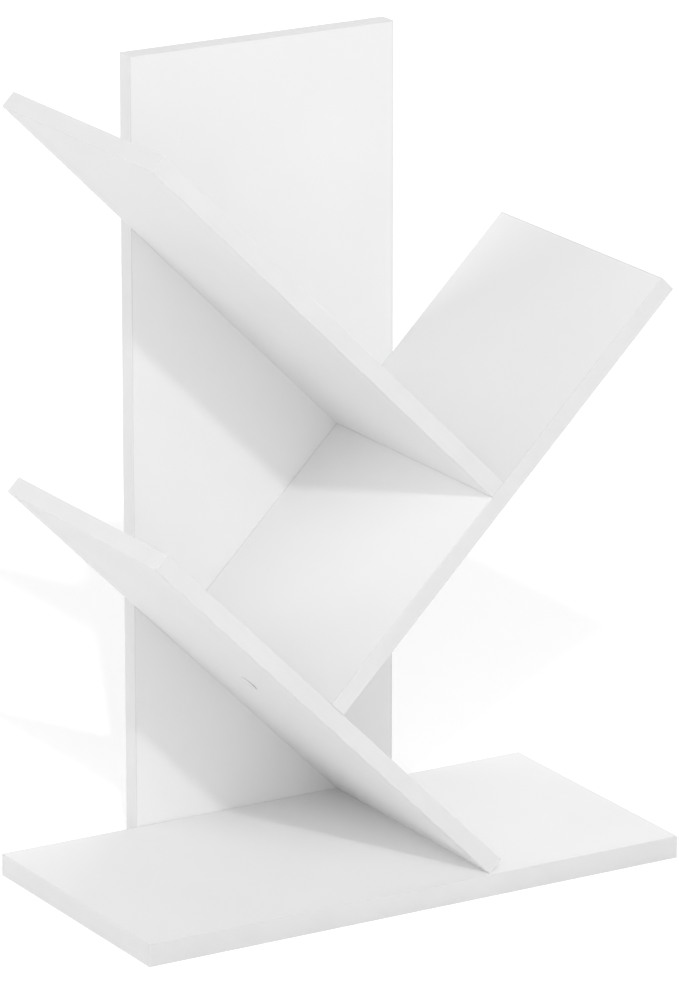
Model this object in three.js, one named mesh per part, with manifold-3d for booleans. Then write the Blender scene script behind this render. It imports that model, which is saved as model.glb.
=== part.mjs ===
// Tree shaped bookshelf: a base, a back panel and three sloping shelves that butt on each other.
// Millimetres, +X to the right, +Y to the back, +Z up. The origin lies on the floor, midway
// between the two ends and midway between the front and the back.
import * as THREE from "three";
import { mergeVertices } from "three/addons/utils/BufferGeometryUtils.js";
import Module from "manifold-3d";

const wasm = await Module();
wasm.setup();

// Boards: chipboard faced with white melamine.
const baseLength = 400;
const baseDepth = 198;
const baseThickness = 15;
const panelWidth = 198;
const panelHeight = 540;
const panelThickness = 13.5;
const shelfLength = 350;
const shelfThickness = 12;
const shelfSetback = 2; // how far the shelves' front edges stand behind the front of the base
const shelfSlope = Math.PI / 4; // upper and lower shelf; the middle one leans square to them

// Edging: a plastic strip glued to each of the four edges of every board.
const edgingThickness = 0.8;
const edgingRadius = 0.5; // the strip's outer corners, rounded when it is trimmed flush
const glueLine = 0.3; // between a sloping shelf's core and the strips on its two ends
const seatGap = 0.3; // between a shelf's foot and the shelf that carries it, and under a cap

// Screws: countersunk chipboard screws, ten alike.
const screwLength = 38;
const screwHeadRadius = 4;
const screwShankRadius = 2;
const screwShankLength = 13;
const screwCoreRadius = 1.4; // the threaded end, at the root of its thread
const screwTipLength = 4;
const screwTipRadius = 0.3;
const driveRadius = 1.8; // mouth of the driver's recess in the head
const driveFloorRadius = 1.3;
const driveDepth = 2.4;
const headSink = 0.3; // the head lies this far below the face of the board
const screwInset = 30; // from the ends of the stretch where a board lies on the panel

// Bores: drilled for the screws, countersunk at the mouth.
const boreClearance = 0.3; // all round the screw, from its head to its tip
const boreSpare = 2; // how much deeper the pilot hole goes than the screw
const overrun = 1; // how far a cutting body stands out of the face that it cuts

// Caps: small domed covers, pushed into the heads of the screws.
const capRadius = 6;
const capRim = 0.5; // height of the straight rim
const capDome = 1.3; // height at the middle
const pegLength = 1.7;
const pegTaper = 0.2;

// Facets
const roundSides = 24;
const arcSteps = 3;
const domeSteps = 5;

// Finishes
const faceColour = 0xf0f0ee;
const edgingColour = 0xe9e9e7;
const steelColour = 0xb9bab8;
const capColour = 0xededeb;

function finish(colour, roughness, metalness) {
  return new THREE.MeshStandardMaterial({ color: colour, roughness, metalness });
}

function piece(name, geometry, material) {
  const mesh = new THREE.Mesh(geometry, material);
  mesh.name = name;
  return mesh;
}

// Solids that joins and cuts work on
function toSolid(geometry) {
  const bare = geometry.clone();
  bare.deleteAttribute("normal");
  bare.deleteAttribute("uv");
  const merged = mergeVertices(bare);
  return new wasm.Manifold(
    new wasm.Mesh({
      numProp: 3,
      vertProperties: merged.attributes.position.array,
      triVerts: new Uint32Array(merged.index.array),
    }),
  );
}

function toGeometry(solid) {
  const mesh = solid.getMesh();
  const geometry = new THREE.BufferGeometry();
  geometry.setAttribute("position", new THREE.BufferAttribute(mesh.vertProperties, mesh.numProp));
  geometry.setIndex(new THREE.BufferAttribute(mesh.triVerts, 1));
  const faceted = geometry.toNonIndexed();
  faceted.computeVertexNormals();
  return faceted;
}

// The core of a board: its length along X, its depth along -Y and its thickness along +Z.
function coreGeometry(size) {
  const end = size.length / 2 - edgingThickness - size.endGap;
  const frontY = edgingThickness - size.depth;
  const backY = -edgingThickness;
  const outline = new THREE.Shape();
  outline.moveTo(-end, frontY);
  outline.lineTo(end, frontY);
  outline.lineTo(end, backY);
  outline.lineTo(-end, backY);
  outline.closePath();
  return new THREE.ExtrudeGeometry(outline, { depth: size.thickness, bevelEnabled: false });
}

// Section of a strip of edging: flat where it is glued, with its two outer corners rounded.
function edgingSection(inner, outer, thickness) {
  const radius = Math.min(edgingRadius, outer - inner);
  const section = new THREE.Shape();
  section.moveTo(inner, 0);
  section.absarc(outer - radius, radius, radius, -Math.PI / 2, 0);
  section.absarc(outer - radius, thickness - radius, radius, 0, Math.PI / 2);
  section.lineTo(inner, thickness);
  section.closePath();
  return section;
}

// A strip of edging whose face looks outward, at the distance outer from the board's origin.
// Its run is two places on the axis that it lies along.
function edgingGeometry(outward, outer, run, thickness) {
  const up = new THREE.Vector3(0, 0, 1);
  const along = new THREE.Vector3().crossVectors(outward, up);
  const forwards = along.x + along.y > 0;
  const section = edgingSection(outer - edgingThickness, outer, thickness);
  const strip = new THREE.ExtrudeGeometry(section, {
    depth: run[1] - run[0],
    bevelEnabled: false,
    curveSegments: arcSteps,
  });
  strip.translate(0, 0, forwards ? run[0] : -run[1]);
  return strip.applyMatrix4(new THREE.Matrix4().makeBasis(outward, up, along));
}

// A board lies flat in its own frame: length along X about the middle, back edge at y = 0, front
// edge at -depth, underside at z = 0. The long strips cover the ends of the short ones.
function board(name, size, sides) {
  const { length, depth, thickness } = size;
  const end = length / 2;
  const longRun = [-end, end];
  const shortRun = [edgingThickness - depth, -edgingThickness];
  const strips = [
    { side: sides.front, outward: new THREE.Vector3(0, -1, 0), outer: depth, run: longRun },
    { side: sides.back, outward: new THREE.Vector3(0, 1, 0), outer: 0, run: longRun },
    { side: sides.minusX, outward: new THREE.Vector3(-1, 0, 0), outer: end, run: shortRun },
    { side: sides.plusX, outward: new THREE.Vector3(1, 0, 0), outer: end, run: shortRun },
  ];
  const group = new THREE.Group();
  group.add(piece(name, coreGeometry(size), finish(faceColour, 0.45, 0)));
  for (const { side, outward, outer, run } of strips) {
    const strip = edgingGeometry(outward, outer, run, thickness);
    group.add(piece(`${name}_edging_${side}`, strip, finish(edgingColour, 0.5, 0)));
  }
  return group;
}

function baseBoard() {
  const size = { length: baseLength, depth: baseDepth, thickness: baseThickness, endGap: 0 };
  return board("base", size, { front: "front", back: "back", minusX: "left", plusX: "right" });
}

// The back panel stands on its end behind the other boards, its front face at y = 0.
function backPanel() {
  const size = { length: panelHeight, depth: panelWidth, thickness: panelThickness, endGap: 0 };
  const sides = { front: "left", back: "right", minusX: "bottom", plusX: "top" };
  const group = board("back_panel", size, sides);
  const up = new THREE.Vector3(0, 0, 1);
  const right = new THREE.Vector3(1, 0, 0);
  const back = new THREE.Vector3(0, 1, 0);
  group.setRotationFromMatrix(new THREE.Matrix4().makeBasis(up, right, back));
  group.position.set(panelWidth / 2, 0, panelHeight / 2);
  return group;
}

// foot is 1 where the shelf's +X end is the low one and -1 where it is the high one.
function slopingShelf(name, foot) {
  const depth = baseDepth - shelfSetback;
  const size = { length: shelfLength, depth, thickness: shelfThickness, endGap: glueLine };
  const ends = foot > 0 ? ["top", "foot"] : ["foot", "top"];
  const sides = { front: "front", back: "back", minusX: ends[0], plusX: ends[1] };
  const group = board(name, size, sides);
  group.rotation.y = foot > 0 ? shelfSlope : shelfSlope - Math.PI / 2;
  return group;
}

// The lower shelf stands on the base on the bottom arris of its low end.
function standOnBase(shelf) {
  shelf.position.z = baseThickness + (Math.sin(shelfSlope) * shelfLength) / 2;
  shelf.updateMatrixWorld();
}

// A shelf's square foot butts on the middle of the upper face of the shelf that carries it.
function buttOn(carrier, shelf, foot) {
  const seat = new THREE.Vector3(0, 0, shelfThickness + seatGap).applyMatrix4(carrier.matrix);
  const sole = new THREE.Vector3((foot * shelfLength) / 2, 0, shelfThickness / 2);
  shelf.position.copy(seat).sub(sole.applyQuaternion(shelf.quaternion));
  shelf.updateMatrixWorld();
}

// Where the bottom arris of a shelf's end lies, from left to right
function arrisPlace(shelf, side) {
  return new THREE.Vector3((side * shelfLength) / 2, 0, 0).applyMatrix4(shelf.matrix).x;
}

// The three shelves, each carried by the one before it, centred over the base
function shelfChain() {
  const lower = slopingShelf("lower_shelf", 1);
  const middle = slopingShelf("middle_shelf", -1);
  const upper = slopingShelf("upper_shelf", 1);
  standOnBase(lower);
  buttOn(lower, middle, -1);
  buttOn(middle, upper, 1);
  const left = Math.min(arrisPlace(lower, -1), arrisPlace(upper, -1));
  const right = arrisPlace(middle, 1);
  for (const shelf of [lower, middle, upper]) {
    shelf.position.x -= (left + right) / 2;
    shelf.updateMatrixWorld();
  }
  return { lower, middle, upper };
}

// Half outline of a screw, from its driver's recess to its tip. A bore is the same outline, grown.
function screwOutline() {
  const coneHeight = screwHeadRadius - screwShankRadius;
  const points = [
    [0, -driveDepth],
    [driveFloorRadius, -driveDepth],
    [driveRadius, 0],
    [screwHeadRadius, 0],
    [screwShankRadius, -coneHeight],
    [screwShankRadius, -screwShankLength],
    [screwCoreRadius, -screwShankLength - (screwShankRadius - screwCoreRadius)],
    [screwCoreRadius, screwTipLength - screwLength],
    [screwTipRadius, -screwLength],
    [0, -screwLength],
  ];
  return points.map(([radius, height]) => new THREE.Vector2(radius, height));
}

function boreOutline() {
  const mouth = headSink + overrun;
  const shank = screwShankRadius + boreClearance;
  const core = screwCoreRadius + boreClearance;
  const points = [
    [0, mouth],
    [screwHeadRadius + boreClearance + mouth, mouth],
    [shank, screwShankRadius - screwHeadRadius],
    [shank, -screwShankLength - boreClearance],
    [core, -screwShankLength - boreClearance - (shank - core)],
    [core, -screwLength],
    [0, -screwLength - boreSpare],
  ];
  return points.map(([radius, height]) => new THREE.Vector2(radius, height));
}

// A cap's underside lies at height 0, with its peg below and its dome above.
function capOutline() {
  const pegRadius = driveRadius - boreClearance;
  const rise = capDome - capRim;
  const points = [
    [0, -pegLength],
    [pegRadius - pegTaper, -pegLength],
    [pegRadius, 0],
    [capRadius, 0],
  ];
  for (let step = 0; step < domeSteps; step += 1) {
    const turn = (step / domeSteps) * (Math.PI / 2);
    points.push([capRadius * Math.cos(turn), capRim + rise * Math.sin(turn)]);
  }
  points.push([0, capDome]);
  return points.map(([radius, height]) => new THREE.Vector2(radius, height));
}

// LatheGeometry faces outwards when its outline climbs, so an outline that falls is turned round.
function turned(outline) {
  const climbs = outline[outline.length - 1].y > outline[0].y;
  return new THREE.LatheGeometry(climbs ? outline : [...outline].reverse(), roundSides);
}

// A fastening is a frame whose +Y points out of the screw's head, with the screw and its cap.
function fastening(name) {
  const group = new THREE.Group();
  group.add(piece(`${name}_screw`, turned(screwOutline()), finish(steelColour, 0.35, 1)));
  const cap = piece(`${name}_cap`, turned(capOutline()), finish(capColour, 0.4, 0));
  cap.position.y = headSink + seatGap;
  group.add(cap);
  return group;
}

// From behind, through the back panel, into the back edge of another board
function panelFastening(name, x, z) {
  const group = fastening(name);
  group.position.set(x, panelThickness - headSink, z);
  group.updateMatrixWorld();
  return group;
}

// From below, through the middle of a shelf, into the foot of the shelf that it carries
function footFastening(name, carrier) {
  const group = fastening(name);
  group.rotation.x = -Math.PI / 2;
  group.position.set(0, (shelfSetback - baseDepth) / 2, headSink);
  group.updateMatrix();
  group.applyMatrix4(carrier.matrix);
  group.updateMatrixWorld();
  return group;
}

// Drills a fastening's bore in every piece of the boards that it passes.
function drill(boards, at) {
  const bore = turned(boreOutline());
  for (const group of boards) {
    const toBoard = group.matrix.clone().invert().multiply(at.matrix);
    const cutter = toSolid(bore.clone().applyMatrix4(toBoard));
    for (const mesh of group.children) {
      const body = toSolid(mesh.geometry);
      const cut = body.subtract(cutter);
      if (cut.volume() < body.volume()) {
        mesh.geometry = toGeometry(cut);
      }
    }
  }
}

function fastenBase(base, panel) {
  const reach = Math.min(baseLength, panelWidth) / 2 - screwInset;
  return [-1, 1].map((side) => {
    const name = side < 0 ? "base_left" : "base_right";
    const made = panelFastening(name, side * reach, baseThickness / 2);
    drill([panel, base], made);
    return made;
  });
}

// Two screws for each shelf, set in from the ends of the stretch that lies on the panel
function fastenShelf(name, shelf, panel) {
  const middle = new THREE.Vector3(0, 0, shelfThickness / 2).applyMatrix4(shelf.matrix);
  const run = Math.cos(shelf.rotation.y);
  const half = shelfLength / 2;
  const low = Math.max((-panelWidth / 2 - middle.x) / run, -half) + screwInset;
  const high = Math.min((panelWidth / 2 - middle.x) / run, half) - screwInset;
  return [low, high].map((place, index) => {
    const spot = new THREE.Vector3(place, 0, shelfThickness / 2).applyMatrix4(shelf.matrix);
    const made = panelFastening(`${name}_${index ? "right" : "left"}`, spot.x, spot.z);
    drill([panel, shelf], made);
    return made;
  });
}

function fastenFoot(name, carrier, shelf) {
  const made = footFastening(name, carrier);
  drill([carrier, shelf], made);
  return [made];
}

function bookshelf() {
  const base = baseBoard();
  const panel = backPanel();
  const { lower, middle, upper } = shelfChain();
  for (const group of [base, panel, lower, middle, upper]) {
    group.updateMatrixWorld();
  }
  const whole = new THREE.Group();
  whole.add(base, panel, lower, middle, upper);
  whole.add(...fastenBase(base, panel));
  whole.add(...fastenShelf("lower_shelf", lower, panel));
  whole.add(...fastenShelf("middle_shelf", middle, panel));
  whole.add(...fastenShelf("upper_shelf", upper, panel));
  whole.add(...fastenFoot("middle_shelf_foot", lower, middle));
  whole.add(...fastenFoot("upper_shelf_foot", middle, upper));
  whole.position.y = (baseDepth - panelThickness - seatGap - capDome) / 2;
  return whole;
}

export default bookshelf();
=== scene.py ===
"""The looks of a tree shaped desktop bookshelf.

A base, a back panel and three sloping shelves of white melamine board, a strip of plastic edging
on each of their four edges, ten chipboard screws and ten caps. Each piece is built in the place
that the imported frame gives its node. Lengths are metres, and millimetres where a name ends in _mm.
"""

import logging
import math
from collections.abc import Callable, Iterable, Mapping, Sequence
from dataclasses import dataclass, field
from enum import Enum
from itertools import pairwise

import bmesh
import bpy
from mathutils import Matrix, Vector


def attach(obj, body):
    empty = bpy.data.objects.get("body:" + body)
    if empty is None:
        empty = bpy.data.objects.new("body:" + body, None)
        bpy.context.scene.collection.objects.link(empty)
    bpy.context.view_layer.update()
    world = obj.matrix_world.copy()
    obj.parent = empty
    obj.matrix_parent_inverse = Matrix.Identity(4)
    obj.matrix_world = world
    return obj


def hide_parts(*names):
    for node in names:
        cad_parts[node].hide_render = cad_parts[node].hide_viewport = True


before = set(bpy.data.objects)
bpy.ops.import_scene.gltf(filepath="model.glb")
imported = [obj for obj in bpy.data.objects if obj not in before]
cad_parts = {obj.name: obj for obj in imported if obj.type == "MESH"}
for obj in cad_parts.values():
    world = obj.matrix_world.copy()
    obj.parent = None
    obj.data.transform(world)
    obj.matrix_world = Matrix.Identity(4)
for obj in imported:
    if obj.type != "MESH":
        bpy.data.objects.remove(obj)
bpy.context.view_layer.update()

log = logging.getLogger("bookshelf")

MM = 0.001
BODY = "root"
SMOOTH_UNDER = math.radians(35)
FLAT_FACE_WEIGHT = 100  # how far a large face sets the shading along its edges
ARC = 0.5  # the profile of a bevel that is part of a circle
ALONG = 0.5  # from this share on, a direction counts as along an axis
CLOUD_VALUES = (0.3, 0.7)  # where most of a cloudy pattern's values lie

Outline = Sequence[tuple[float, float]]
Socket = bpy.types.NodeSocket
Shape = bmesh.types.BMesh


class Slot(Enum):
    """The finishes that the record names."""

    BOARD = "melamine_board"
    EDGING = "edging"
    STEEL = "screw_steel"
    CAP = "screw_cap"


class Join(Enum):
    """What a tool does to the piece that it meets."""

    CUT = "DIFFERENCE"
    ADD = "UNION"


class Side(Enum):
    """The way that a strip of edging faces, in its board's own axes."""

    FRONT = (0, -1, 0)
    BACK = (0, 1, 0)
    MINUS_X = (-1, 0, 0)
    PLUS_X = (1, 0, 0)


# Materials


def linear(colour: str) -> tuple[float, float, float, float]:
    """Turns a colour as a screen shows it into the values that a shader works with.

    Args:
        colour: An sRGB colour, such as "#f0f0f0".

    Returns:
        Linear red, green and blue, and an alpha of 1.
    """
    shares = [int(colour[at:at + 2], 16) / 255 for at in (1, 3, 5)]
    # The curve and its straight foot are those of the sRGB standard.
    red, green, blue = (s / 12.92 if s <= 0.04045 else ((s + 0.055) / 1.055) ** 2.4 for s in shares)
    return red, green, blue, 1.0


def add_node(
    tree: bpy.types.NodeTree,
    kind: str,
    inputs: Mapping[str | int, object] | None = None,
    **settings: object,
) -> bpy.types.Node:
    """Adds a node to a material or to the world.

    Args:
        tree: The nodes that it joins.
        kind: Blender's name for the kind of node.
        inputs: For an input, by name or number, the value that it is set to or the socket that
            is linked to it.
        **settings: The node's own settings.

    Returns:
        The node.
    """
    made = tree.nodes.new(kind)
    for name, value in settings.items():
        setattr(made, name, value)
    for name, value in (inputs or {}).items():
        if isinstance(value, Socket):
            tree.links.new(value, made.inputs[name])
        else:
            made.inputs[name].default_value = value
    return made


def grain(tree: bpy.types.NodeTree, place: Socket, size_mm: float, detail: float = 2.0) -> Socket:
    """A cloudy pattern.

    Args:
        tree: The material's nodes.
        place: The point of the surface, in metres.
        size_mm: How far one cloud is from the next.
        detail: How many rounds of finer clouds are laid over the first.

    Returns:
        The pattern, from 0 to 1 and mostly near a half.
    """
    inputs = {"Vector": place, "Scale": 1 / (size_mm * MM), "Detail": detail}
    return add_node(tree, "ShaderNodeTexNoise", inputs).outputs["Fac"]


def spread(tree: bpy.types.NodeTree, pattern: Socket, low: float, high: float) -> Socket:
    """The middle of a cloudy pattern, spread from one value to another.

    Args:
        tree: The material's nodes.
        pattern: The pattern.
        low: The value in its dark places.
        high: The value in its light places.

    Returns:
        The value.
    """
    inputs = {"Value": pattern, "To Min": low, "To Max": high}
    inputs["From Min"], inputs["From Max"] = CLOUD_VALUES
    return add_node(tree, "ShaderNodeMapRange", inputs).outputs["Result"]


def tint(tree: bpy.types.NodeTree, pattern: Socket, dark: str, light: str) -> Socket:
    """A colour that a cloudy pattern moves between two others.

    Args:
        tree: The material's nodes.
        pattern: The pattern.
        dark: The colour in its dark places, as sRGB hex.
        light: The colour in its light places, as sRGB hex.

    Returns:
        The colour.
    """
    share = spread(tree, pattern, 0.0, 1.0)
    # Inputs 6 and 7 are the colours of such a mix, and output 2 is its result.
    inputs = {0: share, 6: linear(dark), 7: linear(light)}
    return add_node(tree, "ShaderNodeMix", inputs, data_type="RGBA").outputs[2]


def relief(
    tree: bpy.types.NodeTree, pattern: Socket, depth_mm: float, under: Socket | None = None
) -> Socket:
    """Lets a pattern raise and sink a surface.

    Args:
        tree: The material's nodes.
        pattern: The pattern.
        depth_mm: From its lowest to its highest place.
        under: A relief that this one lies on.

    Returns:
        The surface's direction.
    """
    inputs = {"Height": pattern, "Distance": depth_mm * MM, "Strength": 1.0}
    if under:
        inputs["Normal"] = under
    return add_node(tree, "ShaderNodeBump", inputs).outputs["Normal"]


def new_tree(name: str) -> tuple[bpy.types.Material, bpy.types.NodeTree, Socket]:
    """Starts a material.

    Args:
        name: The material's name.

    Returns:
        The material, its nodes, and the point of the surface in the piece's own axes, in metres.
    """
    material = bpy.data.materials.new(name)
    material.use_nodes = True
    tree = material.node_tree
    tree.nodes.clear()
    return material, tree, add_node(tree, "ShaderNodeTexCoord").outputs["Object"]


def close_tree(tree: bpy.types.NodeTree, **shader: object) -> None:
    """Ends a material in its shader.

    Args:
        tree: The material's nodes.
        **shader: The shader's inputs, with an underscore for each blank in a name.
    """
    inputs = {name.replace("_", " "): value for name, value in shader.items()}
    surface = add_node(tree, "ShaderNodeBsdfPrincipled", inputs).outputs["BSDF"]
    add_node(tree, "ShaderNodeOutputMaterial", {"Surface": surface})


@dataclass(frozen=True)
class MelamineFacing:
    """White paper soaked in melamine resin, pressed on the board by a plate with a pearl grain."""

    # Gives the eye an even white with a dull sheen that the grain breaks up.
    dark: str = "#eaeaea"
    light: str = "#ececec"
    cloud_mm: float = 90  # how the white drifts over a board
    pearl_mm: float = 1.0  # the plate's grain, drawn twice as coarse as the real one to show
    pearl_depth_mm: float = 0.006
    sheen_mm: float = 40  # where the board was handled
    roughness: tuple[float, float] = (0.52, 0.60)
    ior: float = 1.6

    def build(self) -> bpy.types.Material:
        """Makes the material."""
        material, tree, place = new_tree("white_melamine_facing")
        close_tree(
            tree,
            Base_Color=tint(tree, grain(tree, place, self.cloud_mm), self.dark, self.light),
            Roughness=spread(tree, grain(tree, place, self.sheen_mm), *self.roughness),
            Normal=relief(tree, grain(tree, place, self.pearl_mm), self.pearl_depth_mm),
            IOR=self.ior,
        )
        return material


@dataclass(frozen=True)
class PlasticEdging:
    """A strip of extruded PVC, embossed a little, glued on and trimmed flush."""

    # Gives the eye a white a shade greyer than the facing, with fine lines along the strip.
    dark: str = "#dddddd"
    light: str = "#e0e0e0"
    cloud_mm: float = 30
    line_mm: float = 0.7  # from one drawn line to the next
    line_stretch: float = 0.03  # a line is this much finer across than along
    line_depth_mm: float = 0.004
    roughness: tuple[float, float] = (0.42, 0.50)
    ior: float = 1.53

    def build(self) -> bpy.types.Material:
        """Makes the material. A strip lies along its own X."""
        material, tree, place = new_tree("white_plastic_edging")
        drawn = {"Vector": place, "Scale": (self.line_stretch, 1.0, 1.0)}
        along = add_node(tree, "ShaderNodeMapping", drawn).outputs["Vector"]
        close_tree(
            tree,
            Base_Color=tint(tree, grain(tree, place, self.cloud_mm), self.dark, self.light),
            Roughness=spread(tree, grain(tree, along, self.line_mm), *self.roughness),
            Normal=relief(tree, grain(tree, along, self.line_mm), self.line_depth_mm),
            IOR=self.ior,
        )
        return material


@dataclass(frozen=True)
class Chipboard:
    """Wood chips pressed with resin, bare inside the bores and under the edging."""

    # Gives the eye tan flakes of many tones with dark gaps between them.
    dark: str = "#8a6a44"
    light: str = "#cfb083"
    chip_mm: float = 2.5
    dust_mm: float = 0.4
    chip_depth_mm: float = 0.2
    dust_depth_mm: float = 0.05
    roughness: float = 0.85
    ior: float = 1.5

    def build(self) -> bpy.types.Material:
        """Makes the material."""
        material, tree, place = new_tree("raw_chipboard")
        chips = {"Vector": place, "Scale": 1 / (self.chip_mm * MM)}
        flake = add_node(tree, "ShaderNodeTexVoronoi", chips)
        tone = add_node(tree, "ShaderNodeSeparateColor", {"Color": flake.outputs["Color"]})
        rough = relief(tree, flake.outputs["Distance"], self.chip_depth_mm)
        close_tree(
            tree,
            Base_Color=tint(tree, tone.outputs["Red"], self.dark, self.light),
            Normal=relief(tree, grain(tree, place, self.dust_mm), self.dust_depth_mm, rough),
            Roughness=self.roughness,
            IOR=self.ior,
        )
        return material


@dataclass(frozen=True)
class ZincPlatedSteel:
    """Cold headed steel, its thread rolled, plated with bright zinc."""

    # Gives the eye a cool grey metal with soft, slightly clouded highlights.
    dark: str = "#aeb0b0"
    light: str = "#c4c6c5"
    cloud_mm: float = 3
    roughness: tuple[float, float] = (0.25, 0.38)
    grit_mm: float = 0.3
    grit_depth_mm: float = 0.004

    def build(self) -> bpy.types.Material:
        """Makes the material."""
        material, tree, place = new_tree("zinc_plated_steel")
        close_tree(
            tree,
            Base_Color=tint(tree, grain(tree, place, self.cloud_mm), self.dark, self.light),
            Roughness=spread(tree, grain(tree, place, self.cloud_mm), *self.roughness),
            Normal=relief(tree, grain(tree, place, self.grit_mm), self.grit_depth_mm),
            Metallic=1.0,
        )
        return material


@dataclass(frozen=True)
class MouldedCap:
    """Polyethylene, injection moulded in a finely spark-eroded mould."""

    # Gives the eye the board's white, smoother, with a broad highlight on its dome.
    dark: str = "#e7e7e7"
    light: str = "#eaeaea"
    cloud_mm: float = 5
    grit_mm: float = 0.4
    grit_depth_mm: float = 0.005
    roughness: tuple[float, float] = (0.33, 0.40)
    ior: float = 1.51

    def build(self) -> bpy.types.Material:
        """Makes the material."""
        material, tree, place = new_tree("white_moulded_polyethylene")
        close_tree(
            tree,
            Base_Color=tint(tree, grain(tree, place, self.cloud_mm), self.dark, self.light),
            Roughness=spread(tree, grain(tree, place, self.cloud_mm), *self.roughness),
            Normal=relief(tree, grain(tree, place, self.grit_mm), self.grit_depth_mm),
            IOR=self.ior,
        )
        return material


# Shapes


def axes(x: Vector, y: Vector, z: Vector) -> Matrix:
    """The turn that lays a piece's own axes along these directions of the frame."""
    return Matrix((x, y, z)).transposed()


@dataclass(frozen=True)
class Box:
    """A node's lowest and highest corner, measured along a piece's own axes."""

    low: Vector
    high: Vector

    @classmethod
    def of(cls, node: str, turn: Matrix) -> "Box":
        """Measures a node of the frame.

        Args:
            node: The node's name.
            turn: The piece's own axes.

        Returns:
            The box.
        """
        back = turn.inverted()
        corners = [back @ vertex.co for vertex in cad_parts[node].data.vertices]
        low = Vector(min(corner[axis] for corner in corners) for axis in range(3))
        high = Vector(max(corner[axis] for corner in corners) for axis in range(3))
        return cls(low, high)

    @property
    def middle(self) -> Vector:
        """The middle of the box."""
        return (self.low + self.high) / 2


def block(box: Box) -> Shape:
    """A block with sharp edges that fills a box."""
    shape = bmesh.new()
    bmesh.ops.create_cube(shape, size=1.0)
    for vertex in shape.verts:
        vertex.co = Vector(
            box.low[axis] if vertex.co[axis] < 0 else box.high[axis] for axis in range(3)
        )
    return shape


def settle(shape: Shape) -> None:
    """Puts a shape's parts in order of place, because a bevel's order varies from run to run."""
    for rank, vertex in enumerate(sorted(shape.verts, key=lambda vertex: tuple(vertex.co))):
        vertex.index = rank
    shape.verts.sort()
    for parts in (shape.edges, shape.faces):
        ranked = sorted(parts, key=lambda part: sorted(vertex.index for vertex in part.verts))
        for rank, part in enumerate(ranked):
            part.index = rank
        parts.sort()


def ease(
    shape: Shape, chosen: Callable[[Vector, Vector], bool], radius_mm: float, steps: int
) -> None:
    """Rounds some of a shape's edges.

    Args:
        shape: The shape, which changes.
        chosen: Tells from an edge's two ends whether it is rounded.
        radius_mm: The radius of the rounding.
        steps: Into how many facets the rounding is cut.
    """
    edges = [edge for edge in shape.edges if chosen(*(vertex.co for vertex in edge.verts))]
    bmesh.ops.bevel(
        shape, geom=edges, offset=radius_mm * MM, segments=steps, profile=ARC, affect="EDGES"
    )
    settle(shape)


def revolve(
    outline: Outline, sides: int, swell: Callable[[float, float], float] | None = None
) -> Shape:
    """Turns an outline round the Z axis.

    Args:
        outline: Radius and height of each point, in metres, from one end on the axis to the other.
        sides: The number of facets round the axis.
        swell: How much further out the surface is at an angle and a height, in metres.

    Returns:
        The shape.
    """
    shape = bmesh.new()
    rings: list[list[bmesh.types.BMVert]] = []
    for radius, height in outline:
        if not radius:
            rings.append([shape.verts.new((0, 0, height))])
            continue
        ring = []
        for side in range(sides):
            angle = side * math.tau / sides
            reach = radius + (swell(angle, height) if swell else 0.0)
            place = (reach * math.cos(angle), reach * math.sin(angle), height)
            ring.append(shape.verts.new(place))
        rings.append(ring)
    for here, there in pairwise(rings):
        for side in range(sides):
            following = (side + 1) % sides
            corners = [here[side % len(here)], here[following % len(here)]]
            corners += [there[following % len(there)], there[side % len(there)]]
            shape.faces.new(dict.fromkeys(corners))
    bmesh.ops.recalc_face_normals(shape, faces=shape.faces)
    return shape


def finished(node: str) -> str:
    """The name of the piece that stands for a node."""
    return f"finished_{node}"


def to_object(name: str, shape: Shape, turn: Matrix, at: Vector | None = None) -> bpy.types.Object:
    """Makes an object of a shape.

    Args:
        name: The object's name.
        shape: The shape, which is used up.
        turn: The object's own axes.
        at: Where its origin lies along its own axes, or nothing where the shape is in place.

    Returns:
        The object.
    """
    mesh = bpy.data.meshes.new(name)
    shape.to_mesh(mesh)
    shape.free()
    made = bpy.data.objects.new(name, mesh)
    bpy.context.scene.collection.objects.link(made)
    made.matrix_world = turn.to_4x4() @ Matrix.Translation(at or Vector())
    return made


def combine(piece: bpy.types.Object, tool: bpy.types.Object, how: Join) -> None:
    """Cuts a tool out of a piece or adds it to the piece, and takes the tool away.

    Args:
        piece: The piece, which changes.
        tool: The tool.
        how: What the tool does.
    """
    modifier = piece.modifiers.new("join", "BOOLEAN")
    modifier.solver = "EXACT"
    modifier.operation = how.value
    modifier.object = tool
    bpy.context.view_layer.update()
    worked = piece.evaluated_get(bpy.context.evaluated_depsgraph_get())
    before = piece.data
    piece.data = bpy.data.meshes.new_from_object(worked)
    piece.data.name = piece.name
    piece.modifiers.clear()
    bpy.data.meshes.remove(before)
    spent = tool.data
    bpy.data.objects.remove(tool)
    bpy.data.meshes.remove(spent)


def dress(
    piece: bpy.types.Object, node: str, materials: Iterable[bpy.types.Material]
) -> None:
    """Gives a piece its finish, smooths its roundings and lets it stand for its node.

    Args:
        piece: The piece.
        node: The node that it replaces.
        materials: Its materials, the first one all over.
    """
    mesh = piece.data
    for material in materials:
        mesh.materials.append(material)
    for polygon in mesh.polygons:
        polygon.use_smooth = True
    mesh.set_sharp_from_angle(angle=SMOOTH_UNDER)
    weighted = piece.modifiers.new("flat faces stay flat", "WEIGHTED_NORMAL")
    weighted.keep_sharp = True
    weighted.weight = FLAT_FACE_WEIGHT
    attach(piece, BODY)
    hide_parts(node)
    log.info("%s: %d faces", piece.name, len(mesh.polygons))


# Sub-assemblies


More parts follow.
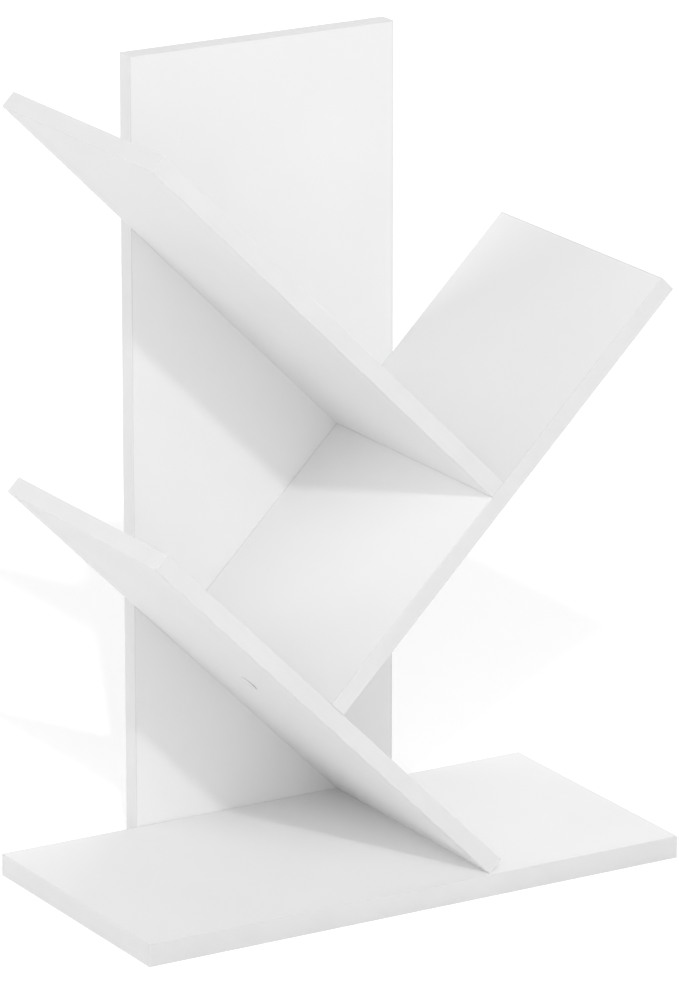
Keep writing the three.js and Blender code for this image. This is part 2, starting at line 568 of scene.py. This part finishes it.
@dataclass(frozen=True)
class Stock:
    """The materials that all the pieces share."""

    facing: bpy.types.Material
    edging: bpy.types.Material
    chipboard: bpy.types.Material
    steel: bpy.types.Material
    cap: bpy.types.Material

    @classmethod
    def mix(cls) -> "Stock":
        """Makes the materials."""
        return cls(
            facing=MelamineFacing().build(),
            edging=PlasticEdging().build(),
            chipboard=Chipboard().build(),
            steel=ZincPlatedSteel().build(),
            cap=MouldedCap().build(),
        )


@dataclass(frozen=True)
class Recess:
    """A driver's cross, four tapered slots that meet, or the peg of a cap that fits in it."""

    reach_mm: float = 1.75  # from the middle to the end of a slot, at the mouth
    width_mm: float = 0.95
    floor_share: float = 0.62  # the floor's size beside the mouth's
    depth_mm: float = 2.2

    def shape(self, play_mm: float, top: float) -> Shape:
        """Makes the solid that fills the cross.

        Args:
            play_mm: How much smaller it is than the cross all round, or larger if negative.
            top: The height that it reaches, in metres.

        Returns:
            The shape, whose mouth lies at height 0.
        """
        reach = (self.reach_mm - play_mm) * MM
        half = (self.width_mm / 2 - play_mm) * MM
        floor = (play_mm - self.depth_mm) * MM
        arm = [(half, half), (reach, half), (reach, -half)]
        shape = bmesh.new()
        rings = []
        for height, share in ((top, 1.0), (0.0, 1.0), (floor, self.floor_share)):
            ring = []
            for quarter in range(4):
                turn = Matrix.Rotation(-quarter * math.pi / 2, 2)
                for point in arm:
                    across = turn @ Vector(point) * share
                    ring.append(shape.verts.new((across.x, across.y, height)))
            rings.append(ring)
        for here, there in pairwise(rings):
            for index, corner in enumerate(here):
                following = (index + 1) % len(here)
                shape.faces.new((corner, here[following], there[following], there[index]))
        shape.faces.new(rings[0])
        shape.faces.new(rings[-1])
        bmesh.ops.recalc_face_normals(shape, faces=shape.faces)
        return shape


@dataclass(frozen=True)
class ScrewSize:
    """A countersunk chipboard screw and the bore that is drilled for it."""

    head_mm: float = 4.0  # radii, down to the tip's
    shank_mm: float = 2.0
    core_mm: float = 1.4
    tip_mm: float = 0.3
    rim_mm: float = 0.15  # the height of the head's rim, which isn't sharp
    shank_length_mm: float = 13
    tip_length_mm: float = 4
    pitch_mm: float = 2.2
    thread_mm: float = 0.6  # how far the thread stands out of the core and bites into the board
    thread_share: float = 0.4  # the thread's foot beside the pitch
    steps_a_turn: int = 10
    sink_mm: float = 0.3  # from the board's face down to the head
    clearance_mm: float = 0.3
    spare_mm: float = 2.0  # how much deeper the bore is than the screw
    overrun_mm: float = 1.0  # how far a cutter stands out of what it cuts
    sides: int = 32

    def outline(self, length: float) -> list[tuple[float, float]]:
        """Half outline of the screw, from the middle of its head to its tip.

        Args:
            length: From head to tip, in metres.

        Returns:
            Radius and height of each point, in metres, with the head at height 0.
        """
        cone = self.head_mm - self.shank_mm
        neck = self.neck_mm
        points = [
            (0.0, 0.0),
            (self.head_mm - self.rim_mm, 0.0),
            (self.head_mm, -self.rim_mm / 2),
            (self.head_mm, -self.rim_mm),
            (self.shank_mm, -cone - self.rim_mm),
            (self.shank_mm, -self.shank_length_mm),
            (self.core_mm, -neck),
        ]
        end = length / MM - self.tip_length_mm
        rows = round((end - neck) / self.pitch_mm * self.steps_a_turn)
        for row in range(1, rows + 1):
            points.append((self.core_mm, -neck - (end - neck) * row / rows))
        rows = round(self.tip_length_mm / self.pitch_mm * self.steps_a_turn)
        for row in range(1, rows + 1):
            share = row / rows
            radius = self.core_mm + (self.tip_mm - self.core_mm) * share
            points.append((radius, -end - self.tip_length_mm * share))
        points.append((0.0, -length / MM))
        return [(radius * MM, height * MM) for radius, height in points]

    def thread(self, length: float) -> Callable[[float, float], float]:
        """The thread's shape.

        Args:
            length: The screw's length, in metres.

        Returns:
            A function of an angle and a height that gives how far the thread stands out there.
        """
        start = -self.neck_mm * MM
        pitch = self.pitch_mm * MM

        def stands_out(angle: float, height: float) -> float:
            """How far the surface stands out of the core, in metres."""
            if height > start:
                return 0.0
            phase = (height / pitch - angle / math.tau) % 1.0
            ridge = max(0.0, 1 - abs(phase - 0.5) * 2 / self.thread_share)
            run = min(1.0, (start - height) / pitch, (length + height) / pitch)
            return self.thread_mm * MM * ridge * max(0.0, run)

        return stands_out

    def bore(self, length: float) -> Shape:
        """The solid that a drill takes out of the boards for the screw.

        Args:
            length: The screw's length, in metres.

        Returns:
            The shape, with the screw's head at height 0.
        """
        mouth = self.sink_mm + self.overrun_mm
        shank = self.shank_mm + self.clearance_mm
        core = self.core_mm + self.clearance_mm
        points = [
            (0.0, mouth),
            (self.head_mm + self.clearance_mm + mouth, mouth),
            (shank, self.shank_mm - self.head_mm),
            (shank, -self.shank_length_mm - self.clearance_mm),
            (core, -self.shank_length_mm - self.clearance_mm - (shank - core)),
            (core, -length / MM),
            (0.0, -length / MM - self.spare_mm),
        ]
        return revolve([(radius * MM, height * MM) for radius, height in points], self.sides)

    @property
    def neck_mm(self) -> float:
        """How far below the head the shank has narrowed to the core."""
        return self.shank_length_mm + self.shank_mm - self.core_mm

    @property
    def reach(self) -> float:
        """The bore's widest radius inside a board, in metres."""
        return (self.head_mm + self.clearance_mm + self.sink_mm) * MM


@dataclass
class Fastening:
    """A screw and its cap, seen along axes whose Z points out of the screw's head."""

    name: str
    out: Vector
    boards: tuple[str, str]
    size: ScrewSize = field(default_factory=ScrewSize)
    recess: Recess = field(default_factory=Recess)
    cap_lift_mm: float = 0.2  # how far the cap's rim stays off the board, a dark line round it
    cap_rim_mm: float = 0.5  # height of the cap's straight rim
    cap_eased_mm: float = 0.1  # how far the rim's lower edge is cut back
    cap_steps: int = 10
    cap_sides: int = 48
    peg_play_mm: float = 0.1  # between the cap's peg and the walls of the screw's cross
    turn: Matrix = field(init=False)  # its own axes
    cap_box: Box = field(init=False)
    head: Vector = field(init=False)  # the middle of the screw's head, along its own axes
    length: float = field(init=False)  # the screw's, in metres

    def __post_init__(self) -> None:
        """Finds the fastening's axes and its place in the frame."""
        across = self.out.cross(Vector((0, 0, 1))).normalized()
        self.turn = axes(across, self.out.cross(across), self.out)
        self.cap_box = Box.of(f"{self.name}_cap", self.turn)
        screw_box = Box.of(f"{self.name}_screw", self.turn)
        middle = screw_box.middle
        self.head = Vector((middle.x, middle.y, screw_box.high.z))
        self.length = screw_box.high.z - screw_box.low.z

    def build(self, stock: Stock) -> None:
        """Makes the screw and the cap.

        Args:
            stock: The materials.
        """
        outline = self.size.outline(self.length)
        thread = self.size.thread(self.length)
        shape = revolve(outline, self.size.sides, thread)
        node = f"{self.name}_screw"
        screw = to_object(finished(node), shape, self.turn, self.head)
        cross = self.recess.shape(0.0, self.size.overrun_mm * MM)
        combine(screw, to_object("cross", cross, self.turn, self.head), Join.CUT)
        dress(screw, node, [stock.steel])
        self.build_cap(stock)

    def build_cap(self, stock: Stock) -> None:
        """Makes the cap, which covers the screw's head with its peg in the screw's cross.

        Args:
            stock: The materials.
        """
        low = (self.size.sink_mm + self.cap_lift_mm) * MM
        top = self.cap_box.high.z - self.head.z
        radius = (self.cap_box.high.x - self.cap_box.low.x) / 2
        shape = revolve(self.cap_outline(radius, low, top), self.cap_sides)
        node = f"{self.name}_cap"
        cap = to_object(finished(node), shape, self.turn, self.head)
        peg = self.recess.shape(self.peg_play_mm, (low + top) / 2)
        combine(cap, to_object("peg", peg, self.turn, self.head), Join.ADD)
        dress(cap, node, [stock.cap])

    def cap_outline(self, radius: float, low: float, top: float) -> list[tuple[float, float]]:
        """Half outline of a cap without its peg.

        Args:
            radius: The cap's radius, in metres.
            low: The height of its underside.
            top: The height of the dome's middle.

        Returns:
            Radius and height of each point, from the middle of the underside to the dome's.
        """
        rim = self.cap_rim_mm * MM
        eased = self.cap_eased_mm * MM
        points = [(0.0, low), (radius - eased, low), (radius, low + eased)]
        rise = top - low - rim
        for step in range(self.cap_steps):
            turn = step / self.cap_steps * math.pi / 2
            points.append((radius * math.cos(turn), low + rim + rise * math.sin(turn)))
        points.append((0.0, top))
        return points

    def passes(self, box: Box, turn: Matrix) -> bool:
        """Tells whether the screw's bore meets a piece.

        Args:
            box: The piece's box along its own axes.
            turn: The piece's own axes.

        Returns:
            True if it does.
        """
        to_piece = turn.inverted() @ self.turn
        ends = [to_piece @ (self.head - Vector((0, 0, depth))) for depth in (0.0, self.length)]
        grown = self.size.core_mm * MM
        return all(
            min(end[axis] for end in ends) - grown < box.high[axis]
            and max(end[axis] for end in ends) + grown > box.low[axis]
            for axis in range(3)
        )

    def drill(self, piece: bpy.types.Object) -> None:
        """Drills the screw's bore in a piece."""
        cutter = to_object("bore", self.size.bore(self.length), self.turn, self.head)
        combine(piece, cutter, Join.CUT)

    def distance(self, point: Vector) -> float:
        """How far a point of the frame lies from the screw's axis, in metres."""
        across = self.turn.inverted() @ point - self.head
        return math.hypot(across.x, across.y)


@dataclass
class Board:
    """A board of melamine-faced chipboard with its four strips of edging.

    Its length lies along its own X, its depth along Y and its thickness along Z.
    """

    name: str
    turn: Matrix
    sides: Mapping[str, Side]
    fastenings: Sequence[Fastening]
    hairline_mm: float = 0.03  # the joint between a face and its edging
    arris_mm: float = 0.25  # the edging's outer corners
    arris_steps: int = 4
    pressed_mm: float = 0.2  # how much nearer a screw pulls a foot than the solids leave it

    def build(self, stock: Stock) -> None:
        """Makes the board and its strips.

        Args:
            stock: The materials.
        """
        self.build_core(stock)
        for ending, side in self.sides.items():
            self.build_strip(f"{self.name}_edging_{ending}", side, stock)

    def build_core(self, stock: Stock) -> None:
        """Makes the board itself, out to the strips on its edges.

        Args:
            stock: The materials.
        """
        box = Box.of(self.name, self.turn)
        for ending, side in self.sides.items():
            strip = Box.of(f"{self.name}_edging_{ending}", self.turn)
            if side is Side.MINUS_X:
                box.low.x = strip.high.x
            elif side is Side.PLUS_X:
                box.high.x = strip.low.x
        shape = block(box)
        ease(shape, lambda one, other: one.z == other.z, self.hairline_mm, 1)
        core = to_object(finished(self.name), shape, self.turn)
        self.drill(core, box, self.turn)
        dress(core, self.name, [stock.facing, stock.chipboard])
        self.bare_chipboard(core)

    def bare_chipboard(self, core: bpy.types.Object) -> None:
        """Gives the core's edges and the walls of its bores the look of raw chipboard.

        Args:
            core: The core, whose second material is chipboard.
        """
        for polygon in core.data.polygons:
            corners = [self.turn @ core.data.vertices[at].co for at in polygon.vertices]
            in_bore = any(
                all(fastening.distance(corner) < fastening.size.reach for corner in corners)
                for fastening in self.own_fastenings()
            )
            upright = abs(polygon.normal.z) < ALONG
            polygon.material_index = int(in_bore or upright)

    def build_strip(self, node: str, side: Side, stock: Stock) -> None:
        """Makes a strip of edging. It lies along its own X and faces its own Y.

        Args:
            node: The strip's node.
            side: The way that it faces.
            stock: The materials.
        """
        outward = self.turn @ Vector(side.value)
        up = self.turn @ Vector((0, 0, 1))
        turn = axes(outward.cross(up), outward, up)
        box = Box.of(node, turn)
        self.press(box, turn)
        covers_ends = side in (Side.FRONT, Side.BACK)
        shape = block(box)

        def is_outer(one: Vector, other: Vector) -> bool:
            """Tells whether an edge is one that the trimmer has rounded."""
            if max(one.y, other.y) < box.high.y:
                return False
            return covers_ends or one.x != other.x

        ease(shape, is_outer, self.arris_mm, self.arris_steps)
        ease(
            shape,
            lambda one, other: one.y == other.y == box.low.y and one.z == other.z,
            self.hairline_mm,
            1,
        )
        strip = to_object(finished(node), shape, turn)
        self.drill(strip, box, turn)
        dress(strip, node, [stock.edging])

    def press(self, box: Box, turn: Matrix) -> None:
        """Lengthens a strip that ends at the foot, where a screw pulls the foot to a board.

        Args:
            box: The strip's box along its own axes, which changes.
            turn: Its own axes.
        """
        if all(fastening.name != f"{self.name}_foot" for fastening in self.fastenings):
            return
        foot = Box.of(f"{self.name}_edging_foot", turn)
        down = turn.inverted() @ self.turn @ Vector(self.sides["foot"].value)
        for axis in range(3):
            if down[axis] > ALONG and box.high[axis] > foot.low[axis]:
                box.high[axis] += self.pressed_mm * MM
            elif down[axis] < -ALONG and box.low[axis] < foot.high[axis]:
                box.low[axis] -= self.pressed_mm * MM

    def own_fastenings(self) -> list[Fastening]:
        """The fastenings that pass this board."""
        return [fastening for fastening in self.fastenings if self.name in fastening.boards]

    def drill(self, piece: bpy.types.Object, box: Box, turn: Matrix) -> None:
        """Drills one of the board's pieces for the screws that pass it.

        Args:
            piece: The piece.
            box: Its box along its own axes.
            turn: Its own axes.
        """
        for fastening in self.own_fastenings():
            if fastening.passes(box, turn):
                fastening.drill(piece)


@dataclass
class Bookshelf:
    """The whole shelf."""

    slope: float = math.pi / 4
    fastenings: list[Fastening] = field(init=False)
    boards: list[Board] = field(init=False)

    def __post_init__(self) -> None:
        """Works out the boards' axes and the fastenings."""
        right, back, up = Vector((1, 0, 0)), Vector((0, 1, 0)), Vector((0, 0, 1))
        falling = Matrix.Rotation(self.slope, 3, "Y")
        rising = Matrix.Rotation(self.slope - math.pi / 2, 3, "Y")
        level_sides = {
            "front": Side.FRONT,
            "back": Side.BACK,
            "left": Side.MINUS_X,
            "right": Side.PLUS_X,
        }
        panel_sides = {
            "left": Side.FRONT,
            "right": Side.BACK,
            "bottom": Side.MINUS_X,
            "top": Side.PLUS_X,
        }
        long_sides = {"front": Side.FRONT, "back": Side.BACK}
        falling_sides = long_sides | {"top": Side.MINUS_X, "foot": Side.PLUS_X}
        rising_sides = long_sides | {"foot": Side.MINUS_X, "top": Side.PLUS_X}
        shelves = {
            "lower_shelf": (falling, falling_sides),
            "middle_shelf": (rising, rising_sides),
            "upper_shelf": (falling, falling_sides),
        }
        self.fastenings = [
            Fastening(f"{name}_{end}", back, ("back_panel", name))
            for name in ("base", *shelves)
            for end in ("left", "right")
        ]
        for carrier, carried in pairwise(shelves):
            under = shelves[carrier][0] @ -up
            self.fastenings.append(Fastening(f"{carried}_foot", under, (carrier, carried)))
        self.boards = [
            Board("base", Matrix.Identity(3), level_sides, self.fastenings),
            Board("back_panel", axes(up, right, back), panel_sides, self.fastenings),
        ]
        for name, (turn, sides) in shelves.items():
            self.boards.append(Board(name, turn, sides, self.fastenings))

    def build(self, stock: Stock) -> None:
        """Makes every piece.

        Args:
            stock: The materials.
        """
        for board in self.boards:
            board.build(stock)
        for fastening in self.fastenings:
            fastening.build(stock)


# Studio


def shown(tree: bpy.types.NodeTree) -> Socket:
    """Tells what is looked at, straight or in gloss or glass, from what only gives light.

    Args:
        tree: The nodes of the material or the world.

    Returns:
        1 for a ray that looks and 0 for a ray that gathers light.
    """
    ray = add_node(tree, "ShaderNodeLightPath").outputs
    shares = {0: ray["Is Camera Ray"], 1: ray["Is Glossy Ray"]}
    either = add_node(tree, "ShaderNodeMath", shares, operation="MAXIMUM").outputs["Value"]
    shares = {0: either, 1: ray["Is Transmission Ray"]}
    return add_node(tree, "ShaderNodeMath", shares, operation="MAXIMUM").outputs["Value"]


@dataclass(frozen=True)
class StudioFloor:
    """White paper that the shelf stands on, as far as the eye reaches."""

    half: float = 20.0
    colour: str = "#f4f4f4"
    fibre_mm: float = 1.5
    fibre_depth_mm: float = 0.02
    roughness: float = 0.9
    glow: float = 0.2  # what the eye sees on top of the lit paper, so that bare paper is white
    far_glow: float = 0.5  # the same where the lamps don't reach
    lit: float = 1.5  # how far from the shelf the lamps light the paper well
    unlit: float = 4.0  # how far they light it at all

    def build(self) -> None:
        """Makes the floor."""
        shape = bmesh.new()
        bmesh.ops.create_grid(shape, x_segments=1, y_segments=1, size=self.half)
        floor = to_object("studio_floor", shape, Matrix.Identity(3))
        material, tree, place = new_tree("white_studio_paper")
        inputs = {
            "Color": linear(self.colour),
            "Roughness": self.roughness,
            "Normal": relief(tree, grain(tree, place, self.fibre_mm), self.fibre_depth_mm),
        }
        paper = add_node(tree, "ShaderNodeBsdfDiffuse", inputs).outputs["BSDF"]
        away = add_node(tree, "ShaderNodeVectorMath", {0: place}, operation="LENGTH")
        reach = {"Value": away.outputs["Value"], "From Min": self.lit, "From Max": self.unlit}
        reach |= {"To Min": self.glow, "To Max": self.far_glow}
        glow = add_node(tree, "ShaderNodeMapRange", reach).outputs["Result"]
        share = {0: shown(tree), 1: glow}
        strength = add_node(tree, "ShaderNodeMath", share, operation="MULTIPLY").outputs["Value"]
        shine = add_node(tree, "ShaderNodeEmission", {"Strength": strength}).outputs["Emission"]
        both = add_node(tree, "ShaderNodeAddShader", {0: paper, 1: shine}).outputs["Shader"]
        add_node(tree, "ShaderNodeOutputMaterial", {"Surface": both})
        floor.data.materials.append(material)
        log.info("floor")


@dataclass(frozen=True)
class Backdrop:
    """A backdrop all round, which looks white and gives an even light."""

    colour: str = "#ffffff"
    light: float = 0.575  # what it gives, beside the white of 1 that it looks

    def build(self) -> None:
        """Makes the world."""
        world = bpy.data.worlds.new("studio_backdrop")
        world.use_nodes = True
        tree = world.node_tree
        tree.nodes.clear()
        shares = {0: shown(tree), 1: self.light}
        strength = add_node(tree, "ShaderNodeMath", shares, operation="MAXIMUM").outputs["Value"]
        inputs = {"Color": linear(self.colour), "Strength": strength}
        white = add_node(tree, "ShaderNodeBackground", inputs).outputs["Background"]
        add_node(tree, "ShaderNodeOutputWorld", {"Surface": white})
        bpy.context.scene.world = world
        log.info("backdrop")


@dataclass(frozen=True)
class SoftBox:
    """A square lamp that faces the middle of the shelf."""

    name: str
    turn: float  # degrees to the right of straight in front, seen from above
    climb: float  # degrees up from level
    watts: float
    side: float = 2.6
    distance: float = 3.5
    aim: tuple[float, float, float] = (0.0, 0.0, 0.25)

    def build(self) -> None:
        """Makes the lamp."""
        light = bpy.data.lights.new(self.name, "AREA")
        light.shape = "SQUARE"
        light.size = self.side
        light.energy = self.watts
        lamp = bpy.data.objects.new(self.name, light)
        bpy.context.scene.collection.objects.link(lamp)
        turn, climb = math.radians(self.turn), math.radians(self.climb)
        level = math.cos(climb)
        away = Vector((math.sin(turn) * level, -math.cos(turn) * level, math.sin(climb)))
        lamp.location = Vector(self.aim) + away * self.distance
        lamp.rotation_euler = away.to_track_quat("Z", "Y").to_euler()
        lamp.visible_camera = False
        log.info("lamp %s", self.name)


@dataclass(frozen=True)
class Viewpoint:
    """The camera, at the photograph's angle."""

    at: tuple[float, float, float] = (-2.2476, -3.7916, 1.6030)
    yaw: float = math.radians(30.698)  # to the right of straight ahead
    pitch: float = math.radians(17.012)  # down
    lens_mm: float = 258.2
    sensor_mm: float = 36.0
    nearest: float = 0.1
    farthest: float = 100.0

    def build(self) -> None:
        """Makes the camera."""
        data = bpy.data.cameras.new("viewpoint")
        data.lens = self.lens_mm
        data.sensor_width = self.sensor_mm
        data.clip_start = self.nearest
        data.clip_end = self.farthest
        camera = bpy.data.objects.new("viewpoint", data)
        bpy.context.scene.collection.objects.link(camera)
        camera.location = self.at
        camera.rotation_euler = (math.pi / 2 - self.pitch, 0.0, -self.yaw)
        bpy.context.scene.camera = camera
        log.info("camera")


# The key is small, so that the shelves' shadows have an edge, and far, so that it lights the top
# and the base alike. The wide ones shade the sides apart.
LAMPS = (
    SoftBox("key", turn=-27, climb=39, watts=100, side=0.2, distance=7.0),
    SoftBox("front", turn=0, climb=22, watts=12),
    SoftBox("front_left", turn=-30, climb=22, watts=24),
    SoftBox("back_left", turn=-120, climb=22, watts=32),
    SoftBox("back_right", turn=120, climb=22, watts=44),
)


def main() -> None:
    """Builds the studio and the shelf."""
    logging.basicConfig(level=logging.INFO, format="%(message)s")
    bpy.context.scene.view_settings.view_transform = "Standard"
    StudioFloor().build()
    Backdrop().build()
    for lamp in LAMPS:
        lamp.build()
    Viewpoint().build()
    Bookshelf().build(Stock.mix())


if __name__ == "__main__":
    main()
